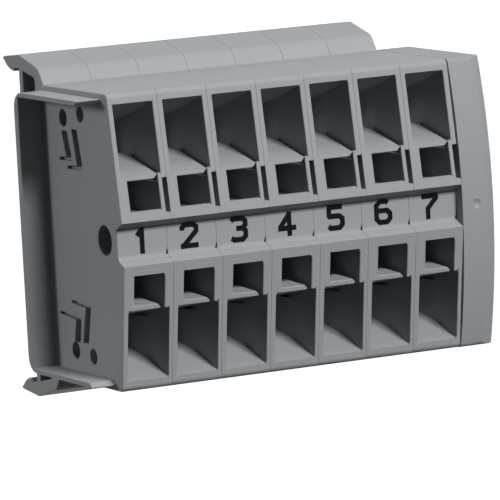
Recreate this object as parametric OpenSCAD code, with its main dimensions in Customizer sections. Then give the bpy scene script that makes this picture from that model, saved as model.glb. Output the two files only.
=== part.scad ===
// A row of spring-clamp terminals on a 35 mm mounting rail: one moulded housing per pole,
// each nested in the next by a rim on its closed side, and a thick end plate that shuts the last one.
// Frame: X runs along the rail, the front faces -Y, Z is up. The origin is on the rail's front
// plane, at the rail's centre line and half-way along the row of poles.
// Side outlines are drawn in (u, z), where u is the distance in front of the rail's front plane.

/* [Row] */
// Number of poles in the row
poles = 7; // [2:1:10]
// Distance between neighbouring poles
pitch = 6; // [5.6:0.1:8]
// Slit left between neighbouring housings
slit = 0.03; // [0.02:0.01:0.1]

/* [Rail] */
// Width of the mounting rail over its two brims
rail_w = 35; // [34:0.1:36]
// Thickness of the rail's brims
rail_t = 1; // [0.8:0.1:1.3]
// Play of the rail in the grooves of the feet
rail_clear = 0.15; // [0.05:0.05:0.3]

/* [Body] */
// Height of the body, ledge to ledge
body_h = 32.4; // [31.6:0.1:33]
// Distance of the front face's outer edges from the rail
front_edge_u = 22.1; // [21.5:0.1:24]
// Distance of the front face's inner edges from the rail
front_nose_u = 24.05; // [23.4:0.05:26]
// Rounding of the front face's outer edges
edge_r = 0.7; // [0.3:0.1:1]
// Thickness of each housing's closed side wall
side_wall = 0.6; // [0.5:0.05:0.9]
// Thickness of the rib beside an upper funnel, on the open side
side_rib = 0.6; // [0.4:0.05:0.8]
// Thickness of the rib beside a lower funnel, on the open side
lower_rib = 0.45; // [0.35:0.05:0.8]
// Distance of the body's back wall from the rail
back_u = 3.2; // [2.8:0.1:3.4]
// Thickness of the body's back wall
back_wall = 1.05; // [0.8:0.05:1.2]
// Thickness of the ledge above the nesting rim
ledge_t = 0.56; // [0.45:0.02:0.7]
// Radius of the tie-rod hole
rod_hole_r = 1.65; // [1:0.05:1.8]
// Distance of the tie-rod hole from the rail
rod_hole_u = 19.6; // [18:0.1:20]
// Height of the tie-rod hole above the mid-plane
rod_hole_z = 0.15; // [-0.3:0.05:0.3]

/* [Feet] */
// Height of a foot's crest above the rail's edge
crest_rise = 1.7; // [1.4:0.1:2.2]
// Reach of a hook behind the rail's front plane
hook_reach = 4.2; // [3.6:0.1:5]
// Overlap of a hook over the rail's edge
hook_grip = 0.25; // [0.15:0.05:0.4]
// Thickness of a foot's walls
foot_wall = 1; // [0.8:0.1:1.2]
// Distance of a foot's front slope from the rail, at the ledge
foot_base_u = 6.2; // [5.8:0.1:7]
// Thickness of a foot in front of its hollow, at the ledge
foot_front = 2.2; // [1.6:0.1:2.4]
// Depth of a foot's inner face below the ledge
foot_depth = 2.6; // [2.2:0.1:3]
// Rounding of a foot's shoulder
shoulder_r = 1.5; // [0.5:0.1:2]

/* [Label band] */
// Half height of the recessed label band
label_half = 1.62; // [1.4:0.02:1.8]
// Half height of the gap between the two front blocks
label_gap_half = 2.35; // [2.2:0.05:2.6]
// Distance of the label band from the rail
label_u = 22.65; // [22:0.05:23]

/* [Wire funnels] */
// Thickness of the lip outside each funnel
funnel_lip = 1.1; // [0.9:0.05:1.4]
// Fall of the outer wall of a funnel, in degrees
ceiling_angle = 18.5; // [16:0.5:20]
// Rise of the tongue under a funnel, in degrees
ramp_angle = 11.2; // [10:0.2:12]
// Distance of the funnel's inner end from the rail
tongue_end_u = 15; // [14.5:0.1:16]
// Width of the wire hole at the funnel's inner end
neck_w = 3.35; // [3:0.05:3.8]
// Length over which the funnel's sides close in
neck_curve = 4; // [3:0.1:4.6]

/* [Tool slots] */
// Distance of a tool slot from the mid-plane
slot_z = 3.45; // [3.2:0.05:3.7]
// Height of a tool slot
slot_h = 3.3; // [3:0.05:3.5]
// Thickness of the sill in front of a slot
slot_sill = 0.6; // [0.4:0.1:1]
// Step behind the sill
sill_step = 0.6; // [0.3:0.1:0.8]
// Extra thickness of the frame beside a slot, on the closed side
slot_inset = 0.67; // [0.4:0.01:0.9]
// Width of the bar beside an upper slot
slot_bar = 0.52; // [0.4:0.02:0.7]
// Width of the side notch beside an upper slot
notch_w = 0.5; // [0.3:0.05:0.6]
// Depth of the side notch
notch_depth = 3; // [1.5:0.5:5]
// Drop of the side notch past the slot, towards the label band
notch_drop = 0.4; // [0:0.05:0.5]
// Thickness of the tongue's front lip
tongue_t = 0.5; // [0.4:0.05:0.6]
// Bevel of the tongue's free edge
tongue_bevel = 0.4; // [0.2:0.05:0.6]
// Gap beside the free edge of an upper tongue
tongue_gap = 0.1; // [0.05:0.05:0.3]
// Gap beside the free edge of a lower tongue
lower_gap = 0.5; // [0.3:0.05:0.6]

/* [Nesting rim] */
// Length of the rim beyond the closed side
rim_len = 2.85; // [2:0.05:2.9]
// Thickness of the rim's back wall
rim_back = 1.1; // [0.8:0.05:1.2]
// Thickness of the rim's flaps
rim_flap = 0.55; // [0.4:0.05:0.6]
// Outer radius of the rim's back corners
rim_corner_r = 1.8; // [1.2:0.1:2.2]
// Distance of the flaps' front ends from the rail
rim_front_u = 20.3; // [19:0.1:20.6]
// Play between a rim and the housing that takes it
nest_clear = 0.05; // [0.03:0.01:0.1]

/* [End plate] */
// Thickness of the end plate
plate_t = 5; // [4:0.1:6]
// Distance of the end plate's back from the rail
plate_back_u = 4.3; // [4.2:0.1:5]
// Rounding of the end plate's front outer edge
plate_edge_r = 2.5; // [1.5:0.1:3]
// Rounding of the end plate's top and bottom edges
plate_top_r = 0.6; // [0.3:0.1:1]
// Skin left outside the end plate's hollows
plate_skin = 1.2; // [1:0.1:2]
// Thickness of the ribs around the end plate's hollows
plate_rib = 1; // [0.8:0.1:1.5]

/* [Metal parts] */
// Thickness of the current bar
bar_t = 0.8; // [0.6:0.05:0.9]
// Width of the current bar's flanges
flange_w = 2; // [1.6:0.1:2.2]
// Distance of a flange's inner face from the mid-plane
flange_z = 8; // [7.8:0.05:8.1]
// Distance of the bar's web from the rail
bar_u = 6; // [5.9:0.05:6.1]
// Length of a flange past the spring's window leg
flange_nose = 1.4; // [0.8:0.1:1.8]
// Thickness of the clamp spring's strip
strip_t = 0.4; // [0.3:0.02:0.45]
// Width of the clamp spring's strip
strip_w = 3.6; // [3.2:0.1:3.8]
// Distance of the spring's window leg from the rail
leg_u = 12.6; // [12.4:0.05:12.8]
// Travel of the window leg when a tool opens the clamp
clamp_travel = 2.2; // [1.6:0.1:2.3]

/* [Hidden] */
$fn = 48;
arc_steps = 6;
// Overshoot of cuts, and overlap of cuts that run into each other
through = 1;
join = 0.05;

half_h = body_h / 2;
pole_w = pitch - slit;
row_w = poles * pitch;
mid_x = pole_w / 2;

// Front face, tool slots and funnels
front_slope = (front_nose_u - front_edge_u) / (half_h - label_gap_half);
slot_x0 = side_wall + slot_inset;
slot_x1 = pole_w - notch_w - slot_bar;
slot_top = slot_z + slot_h;
slot_fall = 0.4;
slot_bar_depth = 0.45;
funnel_z0 = slot_top + tongue_t;
funnel_z1 = half_h - funnel_lip;
tongue_end_z = funnel_z0 + (face_u(funnel_z0) - tongue_end_u) * tan(ramp_angle);
throat_u = leg_u - strip_t;
throat_z = funnel_z1 - (face_u(funnel_z1) - throat_u) * tan(ceiling_angle);
neck_setback = 0.8;
neck_u = tongue_end_u - neck_setback;
ribs = [side_rib, lower_rib];
gaps = [tongue_gap, lower_gap];

// Nesting rims and the room they take in the next housing
shell_z = half_h - ledge_t;
shell_u = back_u + back_wall;
rim_z = shell_z - nest_clear;
rim_u = shell_u + nest_clear;
rim_tip = 0.1;
rim_room_x = pole_w - rim_len - 2 * nest_clear;
rim_room_u = rim_u + rim_back + nest_clear;
rim_room_z = rim_z - rim_flap - nest_clear;

// Feet and hooks
groove_z = rail_w / 2 + rail_clear;
crest_u = 0.2;
crest = [crest_u, rail_w / 2 + crest_rise];
foot_back_z = half_h - foot_depth;
hook_gap = rail_t + rail_clear;
hook_low = rail_w / 2 - hook_grip;
hook_lead = 0.15;
hook_r = hook_reach - hook_gap + hook_lead;
hook_arc = 48;
hook_tip_drop = 0.6;
hook_heel_drop = 0.38;
hook_heel_run = 0.5;
hook_tip = [-hook_reach, crest[1] - hook_tip_drop];
hook_heel = [hook_heel_run - hook_reach, crest[1] - hook_heel_drop];
shoulder_back = 1.2;
shoulder_drop = 1.25;
shoulder = [foot_base_u - shoulder_back, crest[1] - shoulder_drop];
foot_base = [foot_base_u, half_h];
hollow_u = foot_base_u - foot_front;
hollow_drop = 0.3;
hollow_roof = groove_z - hollow_drop;
hollow_fall = 0.5;
hollow_corner = 0.3;

// Label band
bevel_r = 0.7;
bevel_arc = 65;
wedge_w = 0.3;
wedge_h = 0.7;
wedge_depth = 0.4;

// L-shaped marks in the closed side: foot of the strip, its two heights, length of its foot and lean
upper_marks = [[11.1, 8.3, 11.45, 1.7, 16], [13.7, 7.5, 11.75, 2.45, 13]];
lower_marks = [[11.2, 9.05, 11.8, 3.9, 12], [13.8, 7.5, 11.75, 3.4, 14]];
marks = [upper_marks, lower_marks];
mark_floor = 0.3;
mark_w = 1.4;
mark_foot_t = 0.3;
mark_tilt = 4;
// Round pockets in the closed side: distance from the rail, drop below the ledge, radius and depth
upper_pockets = [[10.75, 3.32, 0.95, 2], [15.1, 2.65, 0.87, 0.9]];
lower_pockets = [[10.75, 3.4, 0.95, 2], [15.1, 3.15, 0.87, 0.9]];
pockets = [upper_pockets, lower_pockets];

// End plate
plate_corner_r = 1.2;
plate_fn = 144;
plate_nose_u = max(front_nose_u, front_edge_u);
plate_edge_u = min(front_nose_u, front_edge_u);
plate_sag = plate_nose_u - plate_edge_u;
plate_front_r = (half_h * half_h + plate_sag * plate_sag) / (2 * plate_sag);

// Current bar, clamp spring and the room around them
bar_play = 0.05;
room_step = 0.25;
web_lap = 0.3;
flange_out = flange_z + bar_t;
flange_end_u = leg_u + flange_nose;
belly_r = 2.3;
heel_r = 1.4;
leg_room = 0.3;
tip_len = 1;
seat_gap = 1.6;
window_play = 0.2;
leg_tip = flange_out + bar_play + tip_len;
chamber_x = side_wall + room_step;
chamber_z0 = flange_z - 2 * belly_r - 2 * strip_t;
chamber_back_u = bar_u - 2 * bar_play;
room_front_u = max(tongue_end_u, flange_end_u + leg_room);

sides = ["upper", "lower"];

// Distance of the tilted front face from the rail at a height above the mid-plane
function face_u(z) = front_nose_u - (z - label_gap_half) * front_slope;

// Left end of a pole in the row
function pole_x(i) = (i - 1) * pitch - row_w / 2;

// Points along an arc
function arc(u, z, r, from, to) =
    [for (k = [0:arc_steps]) let (a = from + (to - from) * k / arc_steps) [u + r * cos(a), z + r * sin(a)]];

// Points that round the corner b of an outline that runs clockwise from a through b to c
function rounded(a, b, c, r) =
    let (
        p = (a - b) / norm(a - b),
        q = (c - b) / norm(c - b),
        half = acos(p * q) / 2,
        centre = b + (p + q) / norm(p + q) * r / sin(half),
        out = b - centre,
        middle = atan2(out[1], out[0])
    ) arc(centre[0], centre[1], r, middle + 90 - half, middle - 90 + half);

// A list of points in the other order, and the same outline below the mid-plane
function reversed(points) = [for (k = [len(points) - 1:-1:0]) points[k]];
function below(points) = [for (p = reversed(points)) [p[0], -p[1]]];

// A flat strip along a path, as an outline of the given thickness
function turn(path, k) =
    let (a = path[max(k - 1, 0)], b = path[min(k + 1, len(path) - 1)], d = b - a) [-d[1], d[0]] / norm(d);
function ribbon(path, t) = concat(
    [for (k = [0:len(path) - 1]) path[k] + turn(path, k) * t / 2],
    [for (k = [len(path) - 1:-1:0]) path[k] - turn(path, k) * t / 2]
);

// A side outline in (u, z), carried along X from x0 to x1
module slab(x0, x1) {
    translate([x0, 0, 0]) mirror([0, 1, 0]) rotate([90, 0, 90]) linear_extrude(x1 - x0) children();
}

// A front outline in (x, z), carried forward from u0 to u1
module front_slab(u0, u1) {
    translate([0, -u0, 0]) rotate([90, 0, 0]) linear_extrude(u1 - u0) children();
}

// A block in (x, u, z)
module block(x0, x1, u0, u1, z0, z1) {
    translate([x0, -u1, z0]) cube([x1 - x0, u1 - u0, z1 - z0]);
}

// A round hole along X
module hole(u, z, r, x0, x1) {
    translate([x0, -u, z]) rotate([0, 90, 0]) cylinder(r = r, h = x1 - x0);
}

// Upper half of a housing's outline: foot, hook over the rail's edge, crest and front slope
foot_points = concat(
    [[back_u, foot_back_z], [0, foot_back_z], [0, groove_z]],
    [[-hook_gap, groove_z], [-hook_gap, hook_low + hook_lead]],
    arc(-hook_gap - hook_lead, hook_low + hook_r, hook_r, -90, -90 - hook_arc),
    [hook_tip, hook_heel, crest],
    rounded(crest, shoulder, foot_base, shoulder_r),
    [foot_base]
);

// Rounded edge, tilted face and the undercut to the label band
front_points = concat(
    arc(face_u(half_h) - edge_r, half_h - edge_r, edge_r, 90, -atan(front_slope)),
    [[front_nose_u, label_gap_half], [label_u, label_half]]
);

// Below the label band: a bevel that starts with a hollow curve
bevel_points = arc(label_u + bevel_r, -label_half + bevel_r / 2, bevel_r, 180, 180 + bevel_arc);

module housing_outline() {
    lower_front = below(front_points);
    polygon(concat(
        foot_points,
        front_points,
        bevel_points,
        [for (k = [1:len(lower_front) - 1]) lower_front[k]],
        below(foot_points)
    ));
}

// Hollow of a foot, kept clear of the rounded corner inside the body
module foot_hollow() {
    difference() {
        polygon([
            [foot_wall, foot_back_z + foot_wall],
            [foot_wall, hollow_roof],
            [hollow_u - hollow_corner, hollow_roof - hollow_fall],
            [hollow_u, hollow_roof - hollow_fall - hollow_corner],
            [hollow_u, foot_back_z + foot_wall]
        ]);
        translate([rim_u + rim_corner_r, rim_z - rim_corner_r]) circle(r = rim_corner_r + back_wall);
        translate([shell_u, -half_h]) square([foot_base_u, half_h + shell_z]);
    }
}

// Outline of a nesting rim, grown by the given play
module rim_outline(play) {
    u = rim_u - play;
    z = rim_z + play;
    corner = concat(
        arc(u + rim_corner_r, z - rim_corner_r, rim_corner_r, 180, 90),
        [[rim_front_u + play, z]]
    );
    polygon(concat(corner, below(corner)));
}

module rim_ring(play) {
    z = rim_z - rim_flap - play;
    difference() {
        rim_outline(play);
        translate([rim_u + rim_back + play, -z]) square([rim_front_u, 2 * z]);
    }
}

// The rim on the closed side, with the flaps' front ends bevelled inside
module rim() {
    start = [rim_front_u - rim_flap, rim_z - rim_flap];
    run = [rim_flap, rim_flap - rim_tip] * 2;
    slab(-rim_len, join) difference() {
        rim_ring(0);
        for (s = [0, 1]) mirror([0, s])
            polygon([start, start + run, [start[0] + run[0], start[1] - through]]);
    }
}

// Funnel seen from the side: tongue below, falling wall above
module funnel_side() {
    mouth_u = front_nose_u + through;
    polygon([
        [mouth_u, funnel_z0 - (mouth_u - face_u(funnel_z0)) * tan(ramp_angle)],
        [tongue_end_u, tongue_end_z],
        [throat_u, tongue_end_z],
        [throat_u, throat_z],
        [mouth_u, funnel_z1 + (mouth_u - face_u(funnel_z1)) * tan(ceiling_angle)]
    ]);
}

// One side of a funnel seen from above: straight, then closing in to the wire hole
function funnel_edge(reach) = concat(
    [[neck_w / 2, throat_u - through]],
    [for (k = [0:arc_steps]) let (a = 90 * k / arc_steps)
        [neck_w / 2 + (reach - neck_w / 2) * (1 - cos(a)), neck_u + neck_curve * sin(a)]],
    [[reach, front_nose_u + through]]
);

module funnel(right) {
    intersection() {
        slab(0, pole_w) funnel_side();
        linear_extrude(half_h) polygon(concat(
            [for (p = funnel_edge(right - mid_x)) [mid_x + p[0], -p[1]]],
            [for (p = reversed(funnel_edge(mid_x - side_wall))) [mid_x - p[0], -p[1]]]
        ));
    }
}

// Tool slot: a straight passage over a sill to the clamp. Its tongue is free along one bevelled edge
module tool_slot(right, gap) {
    low = slot_top - slot_fall;
    free_x = slot_x1 - gap;
    sill_u = face_u(slot_z) - slot_sill;
    slab(slot_x0, slot_x1) polygon([
        [front_nose_u + through, slot_z],
        [sill_u, slot_z],
        [sill_u, slot_z - sill_step],
        [tongue_end_u - through, slot_z - sill_step],
        [tongue_end_u - through, low],
        [tongue_end_u, low],
        [face_u(slot_top), slot_top],
        [front_nose_u + through, slot_top]
    ]);
    front_slab(tongue_end_u - through, front_nose_u + through) polygon([
        [free_x - tongue_bevel, low],
        [free_x - tongue_bevel, slot_top],
        [free_x, slot_top + tongue_bevel],
        [free_x, tongue_end_z],
        [slot_x1, tongue_end_z],
        [slot_x1, low]
    ]);
    block(
        slot_x1 - join, right, tongue_end_u - through, face_u(slot_top) - slot_bar_depth,
        low, tongue_end_z
    );
}

// Notch in the open side, beside an upper slot
module side_notch() {
    block(
        slot_x1 + slot_bar, pitch, front_nose_u - notch_depth, front_nose_u + through,
        slot_z - notch_drop, slot_top
    );
}

// Small wedge cut at the label band's lower corner, on the open side
module label_wedge() {
    front_slab(label_u - wedge_depth, front_nose_u) polygon([
        [pitch, -label_half],
        [pole_w - wedge_w, -label_half],
        [pole_w, -label_half + wedge_h],
        [pitch, -label_half + wedge_h]
    ]);
}

// Room for the bar and the spring behind one funnel, open on the housing's open side
module clamp_room() {
    block(chamber_x, pitch, chamber_back_u, room_front_u, chamber_z0, tongue_end_z);
    block(chamber_x, pitch, chamber_back_u, throat_u + join, chamber_z0, throat_z);
    block(
        chamber_x, pitch, throat_u - join, leg_u + strip_t + leg_room,
        chamber_z0, leg_tip + clamp_travel + leg_room
    );
}

// Slot in the wall between the two rooms, which holds the bar's web
module web_slot() {
    block(
        chamber_x, pitch, bar_u - bar_play, bar_u + bar_t + bar_play,
        -chamber_z0 - join, chamber_z0 + join
    );
}

// L-shaped marks and round pockets in the closed side. The marks stop short of the rooms behind them
module side_marks(s) {
    for (m = marks[s]) {
        back = (m[2] - m[1]) * tan(m[4]);
        fall = m[3] * tan(mark_tilt);
        slab(-through, chamber_x - mark_floor) polygon([
            [m[0] - m[3], m[1] - fall],
            [m[0] - m[3], m[1] - fall + mark_foot_t],
            [m[0], m[1] + mark_foot_t],
            [m[0] - back, m[2]],
            [m[0] - back + mark_w, m[2]],
            [m[0] + mark_w, m[1]]
        ]);
    }
    for (p = pockets[s]) hole(p[0], half_h - p[1], p[2], -through, p[3]);
}

module housing(i) {
    color("#969a9d") translate([pole_x(i), 0, 0]) difference() {
        union() {
            slab(0, pole_w) housing_outline();
            rim();
        }
        for (s = [0, 1]) mirror([0, 0, s]) {
            slab(-through, pitch) foot_hollow();
            funnel(pole_w - ribs[s]);
            tool_slot(pole_w - ribs[s], gaps[s]);
            clamp_room();
            side_marks(s);
        }
        side_notch();
        label_wedge();
        web_slot();
        slab(rim_room_x, pitch) rim_ring(nest_clear);
        hole(rod_hole_u, rod_hole_z, rod_hole_r, -through, pitch);
    }
}

// The end plate's bow-fronted body: a slice of a large drum with rounded edges
module plate_body() {
    back = arc(plate_back_u + plate_corner_r, half_h - plate_corner_r, plate_corner_r, 180, 90);
    tip = [plate_edge_u + half_h * tan(asin(half_h / plate_front_r)), 0];
    front = rounded(back[arc_steps], [plate_edge_u, half_h], tip, plate_top_r);
    top = arc(plate_t - plate_top_r, half_h - plate_top_r, plate_top_r, 90, 0);
    intersection() {
        slab(0, plate_t) polygon(concat(back, front, [tip], below(front), below(back)));
        front_slab(0, tip[0]) polygon(concat([[0, half_h]], top, below(top), [[0, -half_h]]));
        translate([0, plate_front_r - plate_nose_u, 0]) rotate([0, 90, 0])
            rotate_extrude($fn = plate_fn) difference() {
                square([plate_front_r, plate_t]);
                translate([plate_front_r - plate_edge_r, plate_t - plate_edge_r]) difference() {
                    square(plate_edge_r + through);
                    circle(r = plate_edge_r);
                }
            }
    }
}

module end_plate() {
    color("#94989b") translate([row_w / 2 + slit, 0, 0]) difference() {
        union() {
            plate_body();
            rim();
        }
        for (s = [0, 1]) mirror([0, 0, s]) block(
            -through, plate_t - plate_skin, rim_room_u + plate_rib, rim_front_u - plate_rib,
            plate_rib, rim_room_z - plate_rib
        );
    }
}

// A stamped bar: a web behind both clamps and a flange through each clamp's window
module current_bar(i) {
    flange_x0 = mid_x - flange_w / 2;
    flange_x1 = mid_x + flange_w / 2;
    color("#c9c4b8") translate([pole_x(i), 0, 0]) {
        block(chamber_x, flange_x1 + web_lap, bar_u, bar_u + bar_t, -flange_out, flange_out);
        for (s = [0, 1]) mirror([0, 0, s])
            block(flange_x0, flange_x1, bar_u + bar_t / 2, flange_end_u, flange_z, flange_out);
    }
}

// A bent strip: a leg on the flange, a round belly, and a leg whose window hugs the flange
module clamp_spring(i, side) {
    seat_z = flange_z - strip_t / 2;
    belly_u = bar_u + bar_t + leg_room + belly_r + strip_t / 2;
    path = concat(
        [[leg_u - seat_gap, seat_z]],
        arc(belly_u, seat_z - belly_r, belly_r, 90, 270),
        arc(leg_u - heel_r, seat_z - 2 * belly_r + heel_r, heel_r, 270, 360),
        [[leg_u, leg_tip]]
    );
    window_half = flange_w / 2 + window_play;
    color("#b7babd") translate([pole_x(i), 0, 0]) mirror([0, 0, side == "lower" ? 1 : 0]) difference() {
        slab(mid_x - strip_w / 2, mid_x + strip_w / 2) polygon(ribbon(path, strip_t));
        block(
            mid_x - window_half, mid_x + window_half, leg_u - through, leg_u + through,
            flange_z - clamp_travel - 2 * leg_room, flange_out + bar_play
        );
    }
}

for (i = [1:poles]) {
    housing(i);
    current_bar(i);
    for (s = sides)
        clamp_spring(i, s);
}
end_plate();
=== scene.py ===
"""Dresses a row of seven spring-clamp terminals for a mounting rail.

The moulded housings, the end plate, the current bars and the clamp springs take their form from the
frame, and get the soft edges, the printed numbers and the finishes of the real pieces.
"""
import logging
import math
from dataclasses import dataclass, field
from enum import Enum

import bpy
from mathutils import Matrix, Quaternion, Vector
from mathutils.bvhtree import BVHTree


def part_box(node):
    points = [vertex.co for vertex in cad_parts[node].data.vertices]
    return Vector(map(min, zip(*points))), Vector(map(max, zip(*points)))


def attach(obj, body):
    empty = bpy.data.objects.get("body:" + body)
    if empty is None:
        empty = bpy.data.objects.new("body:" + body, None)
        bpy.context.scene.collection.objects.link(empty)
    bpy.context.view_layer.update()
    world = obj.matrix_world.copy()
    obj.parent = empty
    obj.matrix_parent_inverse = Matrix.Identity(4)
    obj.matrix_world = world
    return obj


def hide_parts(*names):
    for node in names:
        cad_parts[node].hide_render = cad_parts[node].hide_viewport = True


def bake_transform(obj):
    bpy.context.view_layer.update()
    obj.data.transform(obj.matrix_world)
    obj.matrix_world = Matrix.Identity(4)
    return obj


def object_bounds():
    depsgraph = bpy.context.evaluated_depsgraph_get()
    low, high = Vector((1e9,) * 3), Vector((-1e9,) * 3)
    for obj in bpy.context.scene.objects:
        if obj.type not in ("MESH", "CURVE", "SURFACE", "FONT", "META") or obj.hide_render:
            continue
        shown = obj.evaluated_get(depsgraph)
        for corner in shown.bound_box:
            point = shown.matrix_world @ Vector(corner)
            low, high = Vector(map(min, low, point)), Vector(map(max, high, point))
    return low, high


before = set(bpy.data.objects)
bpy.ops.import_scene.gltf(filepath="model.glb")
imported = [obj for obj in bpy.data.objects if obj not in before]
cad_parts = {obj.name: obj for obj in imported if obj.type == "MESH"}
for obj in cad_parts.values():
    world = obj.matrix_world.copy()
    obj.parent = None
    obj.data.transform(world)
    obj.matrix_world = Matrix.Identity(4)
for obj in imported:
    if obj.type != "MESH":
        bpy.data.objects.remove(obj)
CAD_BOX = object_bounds()

MM = 0.001
POLES = 7
DOUBLES = 0.002 * MM
ROW = "row"
LOG = logging.getLogger("terminal_row")


class Level(Enum):
    """The two clamps of a pole."""

    UPPER = "upper"
    LOWER = "lower"


class Slot(Enum):
    """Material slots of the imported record."""

    HOUSING = "housing_plastic"
    END_PLATE = "end_plate_plastic"
    BAR = "tinned_copper"
    SPRING = "spring_steel"


def linear(code: str) -> tuple[float, float, float, float]:
    """Turns an sRGB hex colour to linear light.

    Args:
        code: Six hex digits after a hash.

    Returns:
        Linear red, green and blue, and an alpha of one.
    """
    shares = [int(code[k:k + 2], 16) / 255 for k in (1, 3, 5)]
    red, green, blue = (s / 12.92 if s <= 0.04045 else ((s + 0.055) / 1.055) ** 2.4 for s in shares)
    return red, green, blue, 1.0


def per_metre(size_mm: float) -> float:
    """Gives the texture scale at which one feature is as wide as the given size in millimetres."""
    return 1 / (size_mm * MM)


def add_node(
    tree: bpy.types.NodeTree,
    kind: str,
    settings: dict[str | int, object] | None = None,
    links: dict[str | int, bpy.types.NodeSocket] | None = None,
) -> bpy.types.Node:
    """Adds a shader node.

    Args:
        tree: Node tree that gets the node.
        kind: Blender's name of the node type.
        settings: Values by input name, input number or node property.
        links: Sockets that feed the named or numbered inputs.

    Returns:
        The new node.
    """
    node = tree.nodes.new(kind)
    for name, value in (settings or {}).items():
        if isinstance(name, int) or name in node.inputs:
            node.inputs[name].default_value = value
        else:
            setattr(node, name, value)
    for name, socket in (links or {}).items():
        tree.links.new(socket, node.inputs[name])
    return node


def new_material(name: str) -> tuple[bpy.types.Material, bpy.types.NodeTree, bpy.types.Node]:
    """Makes an empty node material.

    Args:
        name: Name of the material.

    Returns:
        The material, its node tree and its output node.
    """
    material = bpy.data.materials.new(name)
    material.use_nodes = True
    tree = material.node_tree
    tree.nodes.clear()
    return material, tree, add_node(tree, "ShaderNodeOutputMaterial")


@dataclass(frozen=True)
class MouldedPolyamide:
    """Grey polyamide, moulded in a spark-eroded tool: satin, with a fine grain and faint flow shades."""

    name: str
    colour: str
    flow_colour: str
    roughness: float = 0.58
    roughness_swing: float = 0.06
    gloss: float = 0.15
    grain_mm: float = 0.16
    grain_depth_mm: float = 0.006
    flow_mm: float = 7.0

    def material(self) -> bpy.types.Material:
        """Builds the material.

        Returns:
            The new material.
        """
        material, tree, output = new_material(self.name)
        place = add_node(tree, "ShaderNodeTexCoord").outputs["Object"]
        flow = add_node(
            tree,
            "ShaderNodeTexNoise",
            {"Scale": per_metre(self.flow_mm), "Detail": 3.0},
            {"Vector": place},
        )
        # The tool's grain is about 0.05 mm, and is drawn three times as coarse so that it shows
        grain = add_node(
            tree,
            "ShaderNodeTexNoise",
            {"Scale": per_metre(self.grain_mm), "Detail": 2.0},
            {"Vector": place},
        )
        colour = add_node(
            tree,
            "ShaderNodeMix",
            {"data_type": "RGBA", 6: linear(self.colour), 7: linear(self.flow_colour)},
            {0: flow.outputs["Fac"]},
        )
        matt = add_node(
            tree,
            "ShaderNodeMapRange",
            {
                "To Min": self.roughness - self.roughness_swing,
                "To Max": self.roughness + self.roughness_swing,
            },
            {"Value": grain.outputs["Fac"]},
        )
        bump = add_node(
            tree,
            "ShaderNodeBump",
            {"Strength": 0.5, "Distance": self.grain_depth_mm * MM},
            {"Height": grain.outputs["Fac"]},
        )
        shader = add_node(
            tree,
            "ShaderNodeBsdfPrincipled",
            {"Specular IOR Level": self.gloss},
            {
                "Base Color": colour.outputs[2],
                "Roughness": matt.outputs["Result"],
                "Normal": bump.outputs["Normal"],
            },
        )
        tree.links.new(shader.outputs["BSDF"], output.inputs["Surface"])
        return material


@dataclass(frozen=True)
class PadPrintInk:
    """Blue-black pad-printing ink: a dull thin film that covers a little unevenly."""

    name: str = "pad_print_ink"
    colour: str = "#06070c"
    thin_colour: str = "#12151d"
    roughness: float = 0.6
    gloss: float = 0.06
    blot_mm: float = 0.35

    def material(self) -> bpy.types.Material:
        """Builds the material.

        Returns:
            The new material.
        """
        material, tree, output = new_material(self.name)
        place = add_node(tree, "ShaderNodeTexCoord").outputs["Object"]
        blots = add_node(
            tree,
            "ShaderNodeTexNoise",
            {"Scale": per_metre(self.blot_mm), "Detail": 3.0},
            {"Vector": place},
        )
        colour = add_node(
            tree,
            "ShaderNodeMix",
            {"data_type": "RGBA", 6: linear(self.colour), 7: linear(self.thin_colour)},
            {0: blots.outputs["Fac"]},
        )
        shader = add_node(
            tree,
            "ShaderNodeBsdfPrincipled",
            {"Roughness": self.roughness, "Specular IOR Level": self.gloss},
            {"Base Color": colour.outputs[2]},
        )
        tree.links.new(shader.outputs["BSDF"], output.inputs["Surface"])
        return material


@dataclass(frozen=True)
class StripMetal:
    """Rolled metal strip: bright, with fine rolling lines along it and a little uneven gloss."""

    name: str
    colour: str
    dull_colour: str
    roughness: float
    roughness_swing: float = 0.08
    line_mm: float = 0.08
    line_stretch: float = 0.06

    def material(self) -> bpy.types.Material:
        """Builds the material.

        Returns:
            The new material.
        """
        material, tree, output = new_material(self.name)
        place = add_node(tree, "ShaderNodeTexCoord").outputs["Object"]
        along = add_node(
            tree,
            "ShaderNodeMapping",
            {"Scale": (1.0, self.line_stretch, self.line_stretch)},
            {"Vector": place},
        )
        lines = add_node(
            tree,
            "ShaderNodeTexNoise",
            {"Scale": per_metre(self.line_mm), "Detail": 2.0},
            {"Vector": along.outputs["Vector"]},
        )
        colour = add_node(
            tree,
            "ShaderNodeMix",
            {"data_type": "RGBA", 6: linear(self.colour), 7: linear(self.dull_colour)},
            {0: lines.outputs["Fac"]},
        )
        gloss = add_node(
            tree,
            "ShaderNodeMapRange",
            {
                "To Min": self.roughness - self.roughness_swing,
                "To Max": self.roughness + self.roughness_swing,
            },
            {"Value": lines.outputs["Fac"]},
        )
        shader = add_node(
            tree,
            "ShaderNodeBsdfPrincipled",
            {"Metallic": 1.0},
            {"Base Color": colour.outputs[2], "Roughness": gloss.outputs["Result"]},
        )
        tree.links.new(shader.outputs["BSDF"], output.inputs["Surface"])
        return material


def seen_directly(tree: bpy.types.NodeTree) -> bpy.types.NodeSocket:
    """Adds the nodes that tell a ray of the camera, a reflection or a clear body from other light.

    Args:
        tree: Node tree of the floor or the world.

    Returns:
        A socket that is one for such a ray and zero for other light.
    """
    path = add_node(tree, "ShaderNodeLightPath").outputs
    seen = path["Is Camera Ray"]
    for kind in ("Is Glossy Ray", "Is Transmission Ray"):
        either = add_node(tree, "ShaderNodeMath", {"operation": "MAXIMUM"}, {0: seen, 1: path[kind]})
        seen = either.outputs[0]
    return seen


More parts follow.
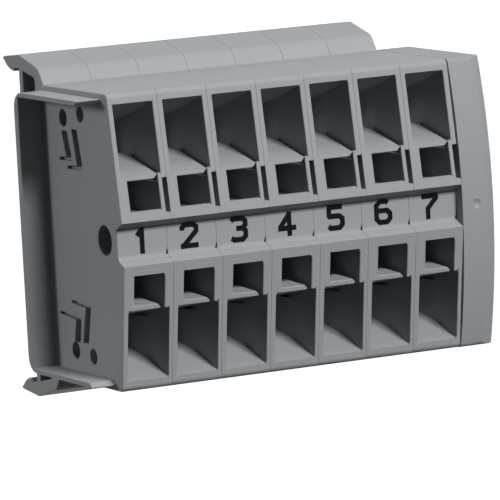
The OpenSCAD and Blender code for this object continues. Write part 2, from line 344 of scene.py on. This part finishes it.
@dataclass(frozen=True)
class StudioPaper:
    """White matt paper: it looks white with a faint shadow, and throws little light back at the row."""

    name: str = "studio_paper"
    colour: str = "#b0b0b0"
    bounce_colour: str = "#2a2a2a"
    glow: float = 0.85

    def material(self) -> bpy.types.Material:
        """Builds the material.

        Returns:
            The new material.
        """
        material, tree, output = new_material(self.name)
        paper = add_node(tree, "ShaderNodeBsdfDiffuse", {"Color": linear(self.colour)})
        glow = add_node(tree, "ShaderNodeEmission", {"Strength": self.glow})
        white = add_node(tree, "ShaderNodeAddShader", None, {0: paper.outputs[0], 1: glow.outputs[0]})
        bounce = add_node(tree, "ShaderNodeBsdfDiffuse", {"Color": linear(self.bounce_colour)})
        shader = add_node(
            tree,
            "ShaderNodeMixShader",
            None,
            {0: seen_directly(tree), 1: bounce.outputs[0], 2: white.outputs[0]},
        )
        tree.links.new(shader.outputs[0], output.inputs["Surface"])
        return material


HOUSING_GREY = MouldedPolyamide("moulded_polyamide_grey", "#979b9e", "#93979a")
PLATE_GREY = MouldedPolyamide("moulded_polyamide_end_plate", "#94989b", "#909497")
INK = PadPrintInk()
TINNED_COPPER = StripMetal("tinned_copper_strip", "#cfcac0", "#bdb8ae", 0.34)
SPRING_STEEL = StripMetal("spring_steel_strip", "#bcbec0", "#a5a7aa", 0.28)


def pick(piece: bpy.types.Object) -> None:
    """Deselects everything, then selects one piece and makes it active.

    Args:
        piece: Object to select.
    """
    bpy.ops.object.select_all(action="DESELECT")
    piece.select_set(True)
    bpy.context.view_layer.objects.active = piece


def apply_modifier(piece: bpy.types.Object, kind: str, **settings: object) -> None:
    """Adds a modifier to a piece and applies it.

    Args:
        piece: Mesh object.
        kind: Blender's name of the modifier type.
        **settings: Properties of the modifier.
    """
    pick(piece)
    modifier = piece.modifiers.new(kind.lower(), kind)
    for name, value in settings.items():
        setattr(modifier, name, value)
    bpy.ops.object.modifier_apply(modifier=modifier.name)


def merged_copy(node: str, name: str) -> bpy.types.Object:
    """Copies a CAD node's mesh to a new piece, with its doubles merged.

    Args:
        node: Name of the CAD node.
        name: Name of the new piece.

    Returns:
        The new piece, with its place in its mesh.
    """
    piece = bpy.data.objects.new(name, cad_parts[node].data.copy())
    bpy.context.scene.collection.objects.link(piece)
    piece.data.materials.clear()
    pick(piece)
    bpy.ops.object.mode_set(mode="EDIT")
    bpy.ops.mesh.select_all(action="SELECT")
    bpy.ops.mesh.remove_doubles(threshold=DOUBLES)
    bpy.ops.object.mode_set(mode="OBJECT")
    return piece


def shifted_copy(master: bpy.types.Object, name: str, shift: float) -> bpy.types.Object:
    """Copies a finished piece along the row.

    Args:
        master: Piece to copy.
        name: Name of the copy.
        shift: Way along X in metres.

    Returns:
        The copy, with a mesh of its own.
    """
    pick(master)
    bpy.ops.object.duplicate(linked=False)
    piece = bpy.context.view_layer.objects.active
    piece.name = name
    bpy.ops.transform.translate(value=(shift, 0.0, 0.0))
    bpy.ops.object.transform_apply(location=True, rotation=True, scale=True)
    return piece


def row_surface() -> BVHTree:
    """Gathers every CAD node into one surface, for the question of what can be seen from outside.

    Returns:
        The surface as a tree of faces for rays.
    """
    points: list[Vector] = []
    faces: list[list[int]] = []
    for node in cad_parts.values():
        first = len(points)
        points.extend(vertex.co.copy() for vertex in node.data.vertices)
        faces.extend([first + k for k in face.vertices] for face in node.data.polygons)
    return BVHTree.FromPolygons(points, faces)


def plane_sizes(mesh: bpy.types.Mesh, turn: float = 0.005, gap: float = 0.02 * MM) -> list[float]:
    """Works out how large the flat area is that each face of a mesh belongs to.

    Args:
        mesh: Mesh of a piece.
        turn: Step in the normals by which two planes are told apart.
        gap: Step in the place of two planes by which they are told apart.

    Returns:
        The area of all faces in the same plane, for each face.
    """
    planes = []
    for face in mesh.polygons:
        way = tuple(round(share / turn) for share in face.normal)
        planes.append((way, round(face.normal.dot(face.center) / gap)))
    sizes: dict[tuple[tuple[int, ...], int], float] = {}
    for plane, face in zip(planes, mesh.polygons):
        sizes[plane] = sizes.get(plane, 0.0) + face.area
    return [sizes[plane] for plane in planes]


def shade(piece: bpy.types.Object, bend: float = 20.0, round_bend: float = 50.0) -> None:
    """Shades the round forms of a piece as round, and keeps its flat faces flat.

    Each corner faces the mean way of the faces around it that turn little from its own one, and large
    flat areas count most. A small rounding, which has the second material, follows the flat faces
    beside it, and they don't follow it.

    Args:
        piece: Piece to shade.
        bend: Largest turn in degrees between faces of one round form.
        round_bend: Largest turn in degrees at a small rounding.
    """
    mesh = piece.data
    mesh.shade_smooth()
    sizes = plane_sizes(mesh)
    around: dict[int, list[bpy.types.MeshPolygon]] = {}
    for face in mesh.polygons:
        for vertex in face.vertices:
            around.setdefault(vertex, []).append(face)
    least = (math.cos(math.radians(bend)), math.cos(math.radians(round_bend)))
    normals = [Vector()] * len(mesh.loops)
    for face in mesh.polygons:
        kind = face.material_index
        for loop in face.loop_indices:
            total = face.normal * face.area
            for other in around[mesh.loops[loop].vertex_index]:
                if other.material_index <= kind and other.normal.dot(face.normal) > least[kind]:
                    total += other.normal * sizes[other.index]
            normals[loop] = total.normalized()
    mesh.normals_split_custom_set(normals)
    mesh.polygons.foreach_set("material_index", [0] * len(mesh.polygons))


@dataclass
class SoftEdges:
    """Small roundings on the outer edges of a piece, as a mould leaves them. Edges in a joint stay sharp.

    An edge may use up nearly all of the face beside it, or half of it where the face's other side is
    rounded too.
    """

    surface: BVHTree
    width: float
    segments: int = 3
    sharp: float = math.radians(24)
    reach: float = 80 * MM
    joint: float = 0.3 * MM
    clear: float = 0.01 * MM
    across: float = math.cos(math.radians(30))
    whole_share: float = 0.9
    half_share: float = 0.45

    def round(self, piece: bpy.types.Object) -> None:
        """Rounds the edges of a piece that can be seen, and keeps its flat faces flat.

        Args:
            piece: Merged copy of a CAD node.
        """
        count = self.weigh(piece.data)
        for _ in range(2):
            piece.data.materials.append(None)
        apply_modifier(
            piece,
            "BEVEL",
            limit_method="WEIGHT",
            width=self.width,
            segments=self.segments,
            material=1,
            use_clamp_overlap=False,
            loop_slide=False,
        )
        shade(piece)
        LOG.info("%s: %d edges rounded", piece.name, count)

    @staticmethod
    def owners(mesh: bpy.types.Mesh) -> dict[tuple[int, int], list[int]]:
        """Lists the faces that share each edge of a mesh.

        Args:
            mesh: Mesh of the piece.

        Returns:
            Face numbers for each pair of corners.
        """
        owners: dict[tuple[int, int], list[int]] = {}
        for face in mesh.polygons:
            for key in face.edge_keys:
                owners.setdefault(key, []).append(face.index)
        return owners

    def weigh(self, mesh: bpy.types.Mesh) -> int:
        """Marks the edges to round.

        Args:
            mesh: Mesh of the piece.

        Returns:
            Number of marked edges.
        """
        owners = self.owners(mesh)
        outer = [edge for edge in mesh.edges if self.shows(mesh, edge, owners.get(edge.key, []))]
        rooms = self.rooms(mesh, outer)
        weights = mesh.attributes.new("bevel_weight_edge", "FLOAT", "EDGE")
        for edge in outer:
            weights.data[edge.index].value = min(1.0, rooms[edge.index] / self.width)
        return len(outer)

    def shows(self, mesh: bpy.types.Mesh, edge: bpy.types.MeshEdge, owners: list[int]) -> bool:
        """Says whether an edge is sharp, stands proud and has a free way out.

        Args:
            mesh: Mesh of the piece.
            edge: Edge of the mesh.
            owners: Faces that share the edge.

        Returns:
            True for an edge to round.
        """
        if len(owners) != 2:
            return False
        first, second = (mesh.polygons[k] for k in owners)
        if first.normal.angle(second.normal, 0.0) < self.sharp:
            return False
        ring = list(first.vertices)
        start, end = edge.vertices
        if ring[(ring.index(start) + 1) % len(ring)] != end:
            start, end = end, start
        along = mesh.vertices[end].co - mesh.vertices[start].co
        if first.normal.cross(along).dot(second.normal) >= 0:
            return False
        middle = (mesh.vertices[start].co + mesh.vertices[end].co) / 2
        for face, other in ((first, second), (second, first)):
            if not self.free(middle - other.normal * self.joint / 4, face.normal, self.joint):
                return False
        return self.free(middle, (first.normal + second.normal).normalized(), self.reach)

    def free(self, place: Vector, way: Vector, reach: float) -> bool:
        """Says whether nothing of the row lies near a place on a surface.

        Args:
            place: Point on the surface.
            way: Direction to look in.
            reach: How far to look.

        Returns:
            True if the way is clear.
        """
        return self.surface.ray_cast(place + way * self.clear, way, reach)[0] is None

    def rooms(self, mesh: bpy.types.Mesh, outer: list[bpy.types.MeshEdge]) -> dict[int, float]:
        """Works out how wide each rounding may be before it runs into the next one.

        Args:
            mesh: Mesh of the piece.
            outer: Edges to round.

        Returns:
            The widest rounding in metres for each edge number.
        """
        marked = {edge.index for edge in outer}
        touching: dict[int, list[bpy.types.MeshEdge]] = {}
        for edge in mesh.edges:
            for vertex in edge.vertices:
                touching.setdefault(vertex, []).append(edge)
        ends = {vertex for edge in outer for vertex in edge.vertices}
        rooms: dict[int, float] = {}
        for edge in outer:
            line = self.line(mesh, edge)
            room = self.width
            for vertex in edge.vertices:
                for other in touching[vertex]:
                    side = self.line(mesh, other)
                    in_line = abs(line.normalized().dot(side.normalized())) > self.across
                    if other.index == edge.index or in_line:
                        continue
                    far = other.vertices[0] if other.vertices[1] == vertex else other.vertices[1]
                    shared = far in ends or other.index in marked
                    room = min(room, side.length * (self.half_share if shared else self.whole_share))
            rooms[edge.index] = room
        return rooms

    @staticmethod
    def line(mesh: bpy.types.Mesh, edge: bpy.types.MeshEdge) -> Vector:
        """Gives the vector along an edge."""
        return mesh.vertices[edge.vertices[1]].co - mesh.vertices[edge.vertices[0]].co


@dataclass(frozen=True)
class FunnelSides:
    """The upright sides of a housing's wire funnels, which close in to the wire hole along an S-curve."""

    middle_from_right: float = 2.985 * MM
    neck_half: float = 1.675 * MM
    mouth_halves: tuple[float, float] = (2.385 * MM, 2.535 * MM)
    neck_front: float = 14.2 * MM
    length: float = 4.0 * MM
    steps: int = 6
    near: float = 0.001 * MM

    def soften(self, piece: bpy.types.Object, right: float) -> None:
        """Moves the corners of the sides from the plain curve of the frame to the S-curve.

        Args:
            piece: Merged copy of a housing.
            right: Place of the housing's open side along X.
        """
        middle = right - self.middle_from_right
        moved = 0
        for vertex in piece.data.vertices:
            way = (-vertex.co.y - self.neck_front) / self.length
            if not 0 < way < 1:
                continue
            plain, soft = self.opening(way)
            off = vertex.co.x - middle
            for mouth_half in self.mouth_halves:
                closing = mouth_half - self.neck_half
                if abs(abs(off) - self.neck_half - plain * closing) < self.near:
                    vertex.co.x = middle + math.copysign(self.neck_half + soft * closing, off)
                    moved += 1
                    break
        LOG.info("%s: %d corners of the funnels moved", piece.name, moved)

    def opening(self, way: float) -> Vector:
        """Works out how far a side has opened at a place between the wire hole and its straight part.

        Args:
            way: Share of the closing length, counted from the wire hole.

        Returns:
            The share of the opening along the frame's curve, and along the S-curve.
        """
        turns = [math.pi / 2 * k / self.steps for k in range(self.steps + 1)]
        places = [math.sin(turn) for turn in turns]
        opened = [Vector((1 - math.cos(turn), d * d * (3 - 2 * d))) for turn, d in zip(turns, places)]
        k = next(k for k in range(self.steps) if way <= places[k + 1])
        return opened[k].lerp(opened[k + 1], (way - places[k]) / (places[k + 1] - places[k]))


def dress(piece: bpy.types.Object, material: bpy.types.Material, node: str) -> None:
    """Gives a piece its finish and lets it stand for a CAD node.

    Args:
        piece: Finished piece.
        material: Its finish.
        node: CAD node that the piece replaces.
    """
    piece.data.materials.clear()
    piece.data.materials.append(material)
    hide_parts(node)
    LOG.info("%s stands for %s", piece.name, node)


@dataclass
class HousingRow:
    """The moulded housings, all from one mould, side by side along the rail."""

    surface: BVHTree
    edge_width: float = 0.13 * MM
    pieces: list[bpy.types.Object] = field(default_factory=list)

    @property
    def pitch(self) -> float:
        """Way from one pole to the next."""
        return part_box("housing_2")[1].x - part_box("housing_1")[1].x

    def build(self) -> None:
        """Softens the first housing, whose side is free, and the second one, and copies the second."""
        for k in (1, 2):
            piece = merged_copy(f"housing_{k}", f"moulded_housing_{k}")
            FunnelSides().soften(piece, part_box(f"housing_{k}")[1].x)
            SoftEdges(self.surface, self.edge_width).round(piece)
            self.pieces.append(piece)
        for k in range(3, POLES + 1):
            self.pieces.append(shifted_copy(self.pieces[1], f"moulded_housing_{k}", (k - 2) * self.pitch))

    def dress(self) -> None:
        """Gives the housings their plastic."""
        material = HOUSING_GREY.material()
        for k, piece in enumerate(self.pieces):
            dress(piece, material, f"housing_{k + 1}")
            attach(piece, ROW)


@dataclass
class EndPlate:
    """The thick bow-fronted plate that shuts the last housing."""

    gate_from_right: float = 3.2 * MM
    gate_radius: float = 0.55 * MM
    gate_depth: float = 0.18 * MM
    ball_segments: int = 48
    piece: bpy.types.Object | None = None

    def build(self) -> None:
        """Sinks the gate mark and shades the plate, whose edges are already round in the frame."""
        self.piece = merged_copy("end_plate", "moulded_end_plate")
        self.sink_gate()
        shade(self.piece)

    def sink_gate(self) -> None:
        """Sinks the small round dent in the front where the plastic entered the mould."""
        low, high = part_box("end_plate")
        radius = (self.gate_radius ** 2 + self.gate_depth ** 2) / (2 * self.gate_depth)
        place = (high.x - self.gate_from_right, low.y + self.gate_depth - radius, (low.z + high.z) / 2)
        bpy.ops.mesh.primitive_uv_sphere_add(
            radius=radius, segments=self.ball_segments, ring_count=self.ball_segments // 2, location=place
        )
        ball = bpy.context.object
        apply_modifier(self.piece, "BOOLEAN", operation="DIFFERENCE", object=ball, solver="EXACT")
        bpy.data.objects.remove(ball)

    def dress(self) -> None:
        """Gives the plate its plastic."""
        dress(self.piece, PLATE_GREY.material(), "end_plate")
        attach(self.piece, ROW)


@dataclass
class PrintedNumbers:
    """Pole numbers printed on the label band, drawn with one even pen width."""

    width: float = 1.75 * MM
    height: float = 2.3 * MM
    pen: float = 0.58 * MM
    least_mitre: float = 0.5
    film: float = 0.012 * MM
    overlap: float = 0.003 * MM
    from_right: float = 4.16 * MM
    base_z: float = -1.02 * MM
    label_recess: float = 1.4 * MM
    strokes: dict[int, list[list[tuple[float, float]]]] = field(default_factory=lambda: {
        1: [[(0.67, 1.12), (0.67, -0.12)], [(0.6, 0.98), (0.33, 0.75)]],
        2: [
            [(0.02, 0.74), (0.02, 0.88), (0.18, 1.0), (0.8, 1.0), (1.0, 0.87), (1.0, 0.68), (0.1, 0.02)],
            [(-0.12, 0.0), (1.12, 0.0)],
        ],
        3: [
            [(0.0, 0.91), (0.15, 1.0), (0.8, 1.0), (1.0, 0.88), (1.0, 0.68), (0.82, 0.54), (0.36, 0.54)],
            [(0.6, 0.54), (0.8, 0.54), (1.0, 0.41), (1.0, 0.15), (0.8, 0.0), (0.2, 0.0), (0.0, 0.1)],
        ],
        4: [
            [(0.66, -0.12), (0.66, 1.06)],
            [(0.7, 0.98), (-0.02, 0.3)],
            [(-0.14, 0.27), (1.14, 0.27)],
        ],
        5: [
            [(1.02, 1.0), (-0.08, 1.0)],
            [(0.06, 1.0), (0.06, 0.52)],
            [(-0.02, 0.57), (0.78, 0.57), (1.0, 0.43), (1.0, 0.16), (0.8, 0.0), (0.18, 0.0), (0.0, 0.1)],
        ],
        6: [
            [(0.88, 0.92), (0.72, 1.0), (0.3, 1.0), (0.03, 0.82), (0.03, 0.18), (0.24, 0.0), (0.6, 0.0)],
            [(0.4, 0.0), (0.78, 0.0), (1.0, 0.16), (1.0, 0.4), (0.78, 0.56), (0.1, 0.56)],
        ],
        7: [[(-0.12, 1.0), (1.0, 1.0)], [(0.94, 1.08), (0.94, 0.9), (0.32, 0.4), (0.32, -0.12)]],
    })
    pieces: list[bpy.types.Object] = field(default_factory=list)

    def build(self) -> None:
        """Draws every number on its housing."""
        for pole in self.strokes:
            low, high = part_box(f"housing_{pole}")
            left = high.x - self.from_right
            plane = low.y + self.label_recess
            lines = [self.stroke(points, k) for k, points in enumerate(self.strokes[pole])]
            bpy.ops.object.select_all(action="DESELECT")
            for line in lines:
                line.select_set(True)
            bpy.context.view_layer.objects.active = lines[0]
            bpy.ops.object.join()
            piece = bpy.context.view_layer.objects.active
            piece.name = f"printed_number_{pole}"
            pick(piece)
            piece.rotation_euler = (math.pi / 2, 0.0, 0.0)
            piece.location = (left, plane, self.base_z)
            bpy.ops.object.transform_apply(location=True, rotation=True, scale=True)
            self.pieces.append(piece)

    def stroke(self, points: list[tuple[float, float]], layer: int) -> bpy.types.Object:
        """Draws one pen stroke as a thin flat film.

        Args:
            points: Corners of the stroke, as shares of the number's width and height.
            layer: Number of strokes that are already drawn below this one.

        Returns:
            The stroke as a mesh in the XY plane.
        """
        path = [Vector((x * self.width, y * self.height, 0.0)) for x, y in points]
        outline = [p + self.side(path, k) for k, p in enumerate(path)]
        outline += [p - self.side(path, k) for k, p in reversed(list(enumerate(path)))]
        curve = bpy.data.curves.new("stroke", "CURVE")
        curve.dimensions = "2D"
        curve.fill_mode = "BOTH"
        curve.extrude = self.film + layer * self.overlap
        spline = curve.splines.new("POLY")
        spline.points.add(len(outline) - 1)
        for point, place in zip(spline.points, outline):
            point.co = (*place, 1.0)
        spline.use_cyclic_u = True
        line = bpy.data.objects.new("stroke", curve)
        bpy.context.scene.collection.objects.link(line)
        pick(line)
        bpy.ops.object.convert(target="MESH")
        return bpy.context.view_layer.objects.active

    def side(self, path: list[Vector], k: int) -> Vector:
        """Gives the way from a stroke's middle line to its left edge, mitred at a corner.

        Args:
            path: Middle line.
            k: Number of the point.

        Returns:
            The way to the left edge at that point.
        """
        before = (path[k] - path[k - 1]).normalized() if k > 0 else None
        after = (path[k + 1] - path[k]).normalized() if k + 1 < len(path) else None
        along = ((before or after) + (after or before)).normalized()
        left = Vector((-along.y, along.x, 0.0))
        reach = max(self.least_mitre, along.dot(before or after))
        return left * (self.pen / 2 / reach)

    def dress(self) -> None:
        """Inks the numbers."""
        material = INK.material()
        for piece in self.pieces:
            piece.data.materials.clear()
            piece.data.materials.append(material)
            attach(piece, ROW)
            LOG.info("%s is inked", piece.name)


@dataclass
class CurrentBars:
    """Stamped bars that join the two clamps of a pole."""

    pitch: float
    edge_width: float = 0.06 * MM
    pieces: list[bpy.types.Object] = field(default_factory=list)

    def build(self) -> None:
        """Breaks one bar's edges and copies it along the row."""
        master = merged_copy("current_bar_1", "stamped_bar_1")
        apply_modifier(master, "BEVEL", width=self.edge_width, segments=2, limit_method="ANGLE")
        self.pieces = [master]
        for k in range(1, POLES):
            self.pieces.append(shifted_copy(master, f"stamped_bar_{k + 1}", k * self.pitch))

    def dress(self) -> None:
        """Gives the bars their metal."""
        material = TINNED_COPPER.material()
        for k, piece in enumerate(self.pieces):
            dress(piece, material, f"current_bar_{k + 1}")
            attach(piece, ROW)


@dataclass
class ClampSprings:
    """Bent clamp springs: the seat leg stays on its bar, and the window leg moves with the clamp."""

    pitch: float
    edge_width: float = 0.04 * MM
    edge_angle: float = math.radians(40)
    bend_start: float = 11.1 * MM
    bend_end: float = 12.38 * MM
    pieces: dict[tuple[int, Level], bpy.types.Object] = field(default_factory=dict)

    def build(self) -> None:
        """Breaks the edges of one spring of each level and copies it along the row."""
        for level in Level:
            master = merged_copy(f"clamp_spring_1_{level.value}", f"bent_spring_1_{level.value}")
            apply_modifier(
                master,
                "BEVEL",
                width=self.edge_width,
                segments=2,
                limit_method="ANGLE",
                angle_limit=self.edge_angle,
            )
            pick(master)
            bpy.ops.object.shade_smooth_by_angle(angle=self.edge_angle)
            self.pieces[1, level] = master
            for pole in range(2, POLES + 1):
                name = f"bent_spring_{pole}_{level.value}"
                self.pieces[pole, level] = shifted_copy(master, name, (pole - 1) * self.pitch)

    def dress(self) -> None:
        """Gives the springs their metal and bakes their places into their meshes."""
        material = SPRING_STEEL.material()
        for (pole, level), piece in self.pieces.items():
            node = f"clamp_spring_{pole}_{level.value}"
            dress(piece, material, node)
            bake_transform(piece)


def way_out(azimuth: float, elevation: float) -> Vector:
    """Gives the direction from the row to a place around it.

    Args:
        azimuth: Angle in degrees from the front, to the right.
        elevation: Angle in degrees above the ground.

    Returns:
        A unit vector.
    """
    turn, lift = math.radians(azimuth), math.radians(elevation)
    return Vector((math.sin(turn) * math.cos(lift), -math.cos(turn) * math.cos(lift), math.sin(lift)))


@dataclass(frozen=True)
class SoftBox:
    """A rectangular lamp that hangs around the row and looks at it."""

    name: str
    azimuth: float
    elevation: float
    width: float
    height: float
    watts: float
    distance: float = 1.2

    def hang(self, target: Vector) -> None:
        """Hangs the lamp.

        Args:
            target: Point that the lamp looks at.
        """
        way = way_out(self.azimuth, self.elevation)
        bpy.ops.object.light_add(type="AREA", location=target + way * self.distance)
        lamp = bpy.context.object
        lamp.name = self.name
        lamp.data.shape = "RECTANGLE"
        lamp.data.size = self.width
        lamp.data.size_y = self.height
        lamp.data.energy = self.watts
        lamp.rotation_mode = "QUATERNION"
        lamp.rotation_quaternion = (-way).to_track_quat("-Z", "Y")


KEY_LAMP = SoftBox("key_lamp", azimuth=9.0, elevation=36.5, width=0.3, height=0.22, watts=15.6)
TOP_LAMP = SoftBox("top_lamp", azimuth=0.0, elevation=80.0, width=0.4, height=0.4, watts=3.0)
SIDE_LAMP = SoftBox("side_lamp", azimuth=-115.0, elevation=15.0, width=0.3, height=0.3, watts=4.9)
# The lamp behind the row hangs below its top, so that it doesn't glance off it into the camera
BACK_LAMP = SoftBox("back_lamp", azimuth=140.0, elevation=-1.0, width=0.4, height=0.06, watts=9.0)


@dataclass
class Studio:
    """A pale floor, a small key lamp at the front, weaker lamps around the row, and a long-lens camera."""

    target: Vector = field(default_factory=lambda: Vector((0.45 * MM, -12 * MM, -3.9 * MM)))
    azimuth: float = -27.2
    elevation: float = 7.6
    roll: float = -3.06
    distance: float = 573 * MM
    lens: float = 371.0
    floor_drop: float = 45 * MM
    floor_size: float = 6.0
    fill: float = 0.02

    def build(self) -> None:
        """Sets up the camera, the lamps, the floor and the world."""
        self.place_camera()
        for lamp in (KEY_LAMP, TOP_LAMP, SIDE_LAMP, BACK_LAMP):
            lamp.hang(self.target)
        self.lay_floor()
        self.light_world()
        bpy.context.scene.view_settings.view_transform = "Standard"

    def place_camera(self) -> None:
        """Places the camera at the photograph's viewing angle."""
        back = way_out(self.azimuth, self.elevation)
        bpy.ops.object.camera_add(location=self.target + back * self.distance)
        camera = bpy.context.object
        camera.rotation_mode = "QUATERNION"
        aim = (-back).to_track_quat("-Z", "Y")
        camera.rotation_quaternion = aim @ Quaternion((0.0, 0.0, 1.0), math.radians(self.roll))
        camera.data.sensor_width = 36.0
        camera.data.lens = self.lens
        camera.data.clip_start = 10 * MM
        bpy.context.scene.camera = camera

    def lay_floor(self) -> None:
        """Lays the pale floor below the row, out of reach of its shadow's edge."""
        low, _ = CAD_BOX
        bpy.ops.mesh.primitive_plane_add(size=self.floor_size, location=(0.0, 0.0, low.z - self.floor_drop))
        floor = bpy.context.object
        floor.name = "studio_floor"
        bpy.ops.object.transform_apply(location=True, rotation=True, scale=True)
        floor.data.materials.append(StudioPaper().material())

    def light_world(self) -> None:
        """Makes a white backdrop that lights the row only as a weak fill."""
        world = bpy.data.worlds.new("studio_world")
        bpy.context.scene.world = world
        world.use_nodes = True
        tree = world.node_tree
        tree.nodes.clear()
        strength = add_node(
            tree,
            "ShaderNodeMapRange",
            {"To Min": self.fill, "To Max": 1.0},
            {"Value": seen_directly(tree)},
        )
        light = add_node(
            tree,
            "ShaderNodeBackground",
            {"Color": (1.0, 1.0, 1.0, 1.0)},
            {"Strength": strength.outputs["Result"]},
        )
        output = add_node(tree, "ShaderNodeOutputWorld")
        tree.links.new(light.outputs["Background"], output.inputs["Surface"])


def main() -> None:
    """Builds and dresses the row, then its studio."""
    logging.basicConfig(level=logging.INFO, format="%(name)s: %(message)s")
    housings = HousingRow(row_surface())
    parts = [
        housings,
        EndPlate(),
        PrintedNumbers(),
        CurrentBars(housings.pitch),
        ClampSprings(housings.pitch),
    ]
    for part in parts:
        part.build()
        part.dress()
    Studio().build()


if __name__ == "__main__":
    main()
